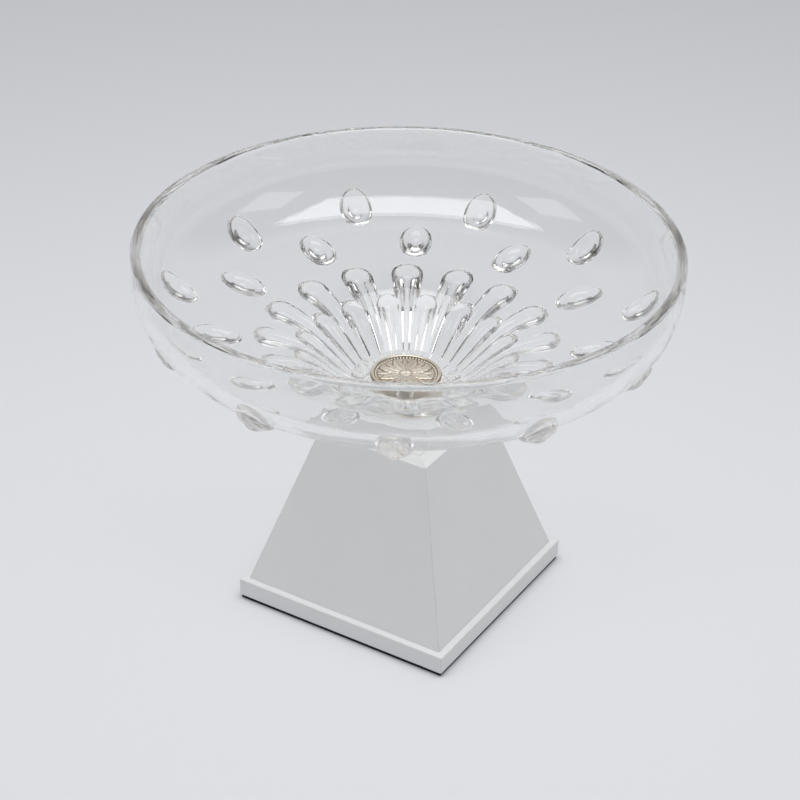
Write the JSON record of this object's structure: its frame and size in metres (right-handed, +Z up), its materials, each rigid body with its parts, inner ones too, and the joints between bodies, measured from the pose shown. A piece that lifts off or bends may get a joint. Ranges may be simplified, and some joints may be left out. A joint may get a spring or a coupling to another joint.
{
  "type": "pedestal bowl",
  "caption": "Wide shallow crystal bowl with a moulded relief of drops and flutes, clamped by a gilt medallion to a white square pyramid pedestal.",
  "frame": {"origin": "on the surface that the felt stands on, under the bowl's axis", "axes": "+Z up along the bowl's axis; the pedestal's sides lie along X and Y, and its front panel faces -Y"},
  "size_m": [0.33, 0.33, 0.2453],
  "materials": {
    "crystal": "fire-polished clear crystal",
    "champagne_gilt": "champagne gilt, softly polished",
    "white_lacquer": "satin white lacquer on board",
    "raw_board": "sawn, unfinished",
    "navy_felt": "pressed felt",
    "zinc_steel": "bright zinc plated",
    "stud_brass": "turned",
    "clear_silicone": "clear, soft",
    "natural_nylon": "natural"
  },
  "bodies": {
    "root": {"glass_bowl": "crystal", "medallion": "champagne_gilt", "medallion_gasket": "clear_silicone", "centre_stud": "stud_brass", "bore_sleeve": "natural_nylon", "foot_gasket": "clear_silicone", "seat_disc": "champagne_gilt", "panel_front": "white_lacquer", "panel_right": "white_lacquer", "panel_back": "white_lacquer", "panel_left": "white_lacquer", "top_board": "white_lacquer", "corner_block_1": "raw_board", "corner_block_2": "raw_board", "corner_block_3": "raw_board", "corner_block_4": "raw_board", "plinth_screw_1": "zinc_steel", "plinth_screw_2": "zinc_steel", "plinth_screw_3": "zinc_steel", "plinth_screw_4": "zinc_steel", "plinth": "white_lacquer", "felt_pad": "navy_felt", "stud_washer": "zinc_steel", "spring_washer": "zinc_steel", "stud_nut": "zinc_steel"}
  },
  "joints": []
}
